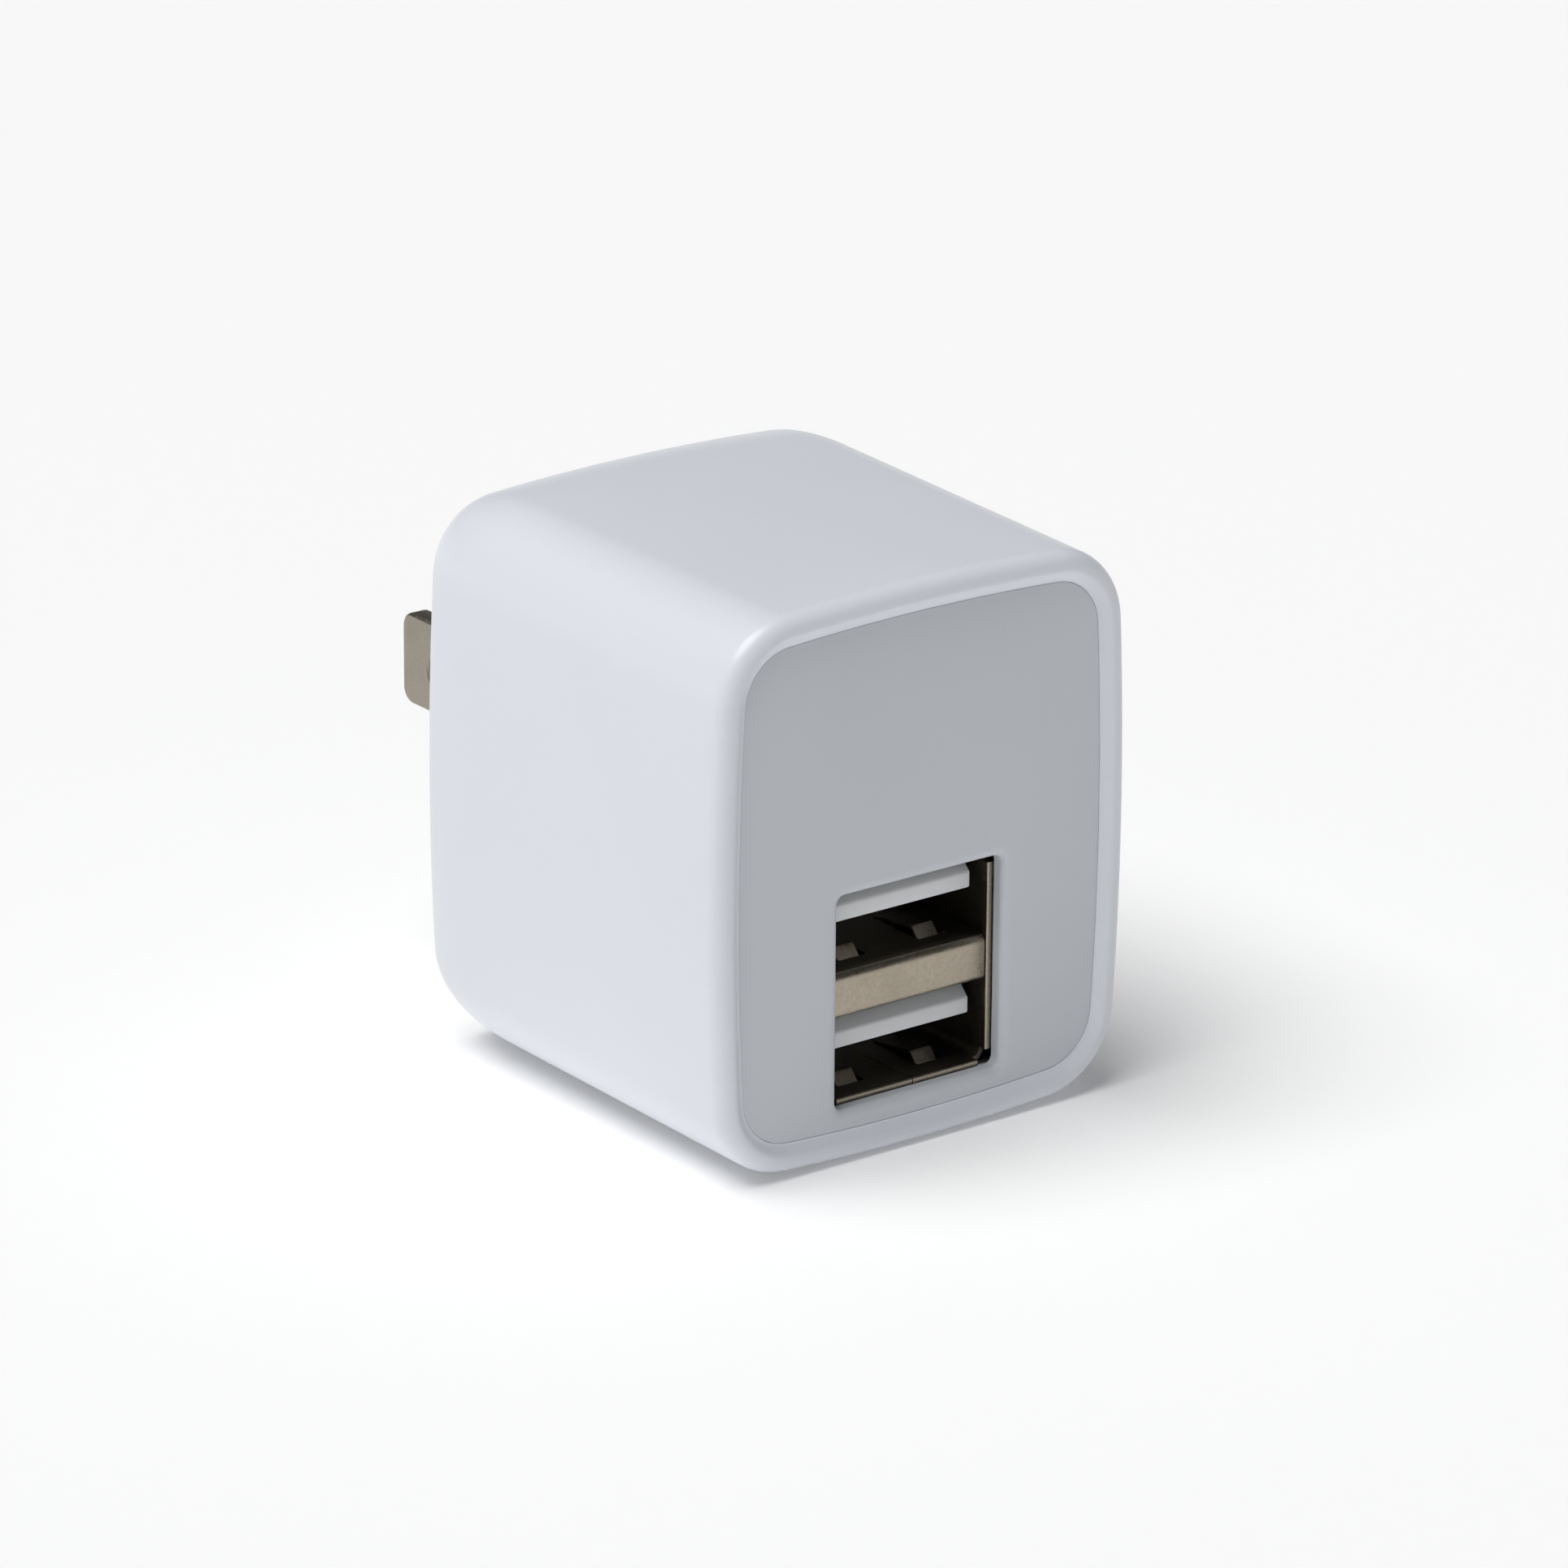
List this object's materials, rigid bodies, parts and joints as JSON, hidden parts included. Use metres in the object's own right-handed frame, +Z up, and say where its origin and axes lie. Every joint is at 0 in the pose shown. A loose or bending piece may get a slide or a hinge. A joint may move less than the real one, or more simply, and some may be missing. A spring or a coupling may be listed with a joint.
{
  "type": "usb wall charger",
  "caption": "Small cube-shaped wall charger with bulging sides, a recessed front panel with stacked USB sockets and flat mains blades on its back.",
  "frame": {"origin": "middle of the bounding box's base, which is the plane it stands on", "axes": "+Y from the front panel towards the blades, +Z up, +X to the right seen from the front"},
  "size_m": [0.0336, 0.0476, 0.0385],
  "materials": {
    "white_gloss": "glossy white moulding with a slightly cool tint",
    "panel_gloss": "satin pale grey moulding with a slightly cool tint",
    "cover_white": "fine spark-eroded white moulding",
    "blade_nickel": "nickel-plated brass with fine brushing",
    "socket_steel": "nickel-plated sheet steel",
    "socket_plastic": "pale grey-blue moulding",
    "contact_gold": "gold-flashed brass",
    "board_green": "solder-masked glass laminate",
    "film": "translucent polyester film",
    "chip_black": "moulded epoxy",
    "ferrite": "sintered ferrite",
    "bobbin_plastic": "moulded phenolic",
    "tape_yellow": "wound polyester tape",
    "capacitor_sleeve": "shrunk sleeve",
    "capacitor_blue": "dipped epoxy",
    "resistor_green": "flameproof coating",
    "lead_red": "wire insulation",
    "lead_black": "wire insulation"
  },
  "bodies": {
    "root": {"housing_sleeve": "white_gloss", "front_panel": "panel_gloss", "rear_cover": "cover_white", "blade_retainer": "cover_white", "blade_left": "blade_nickel", "blade_right": "blade_nickel", "neutral_lead": "lead_black", "live_lead": "lead_red", "usb_shell": "socket_steel", "usb_divider": "socket_steel", "upper_insulator": "socket_plastic", "lower_insulator": "socket_plastic", "upper_contact_1": "contact_gold", "upper_contact_2": "contact_gold", "upper_contact_3": "contact_gold", "upper_contact_4": "contact_gold", "lower_contact_1": "contact_gold", "lower_contact_2": "contact_gold", "lower_contact_3": "contact_gold", "lower_contact_4": "contact_gold", "usb_board": "board_green", "main_board": "board_green", "insulation_sheet": "film", "link_pin_1": "contact_gold", "link_pin_2": "contact_gold", "link_pin_3": "contact_gold", "bridge_rectifier": "chip_black", "controller_chip": "chip_black", "optocoupler": "chip_black", "output_diode": "chip_black", "port_chip": "chip_black", "input_capacitor_1": "capacitor_sleeve", "input_capacitor_2": "capacitor_sleeve", "output_capacitor": "capacitor_sleeve", "choke_inductor": "ferrite", "fuse_resistor": "resistor_green", "y_capacitor": "capacitor_blue", "transformer_core_upper": "ferrite", "transformer_core_lower": "ferrite", "transformer_bobbin": "bobbin_plastic", "transformer_winding": "tape_yellow"}
  },
  "joints": []
}
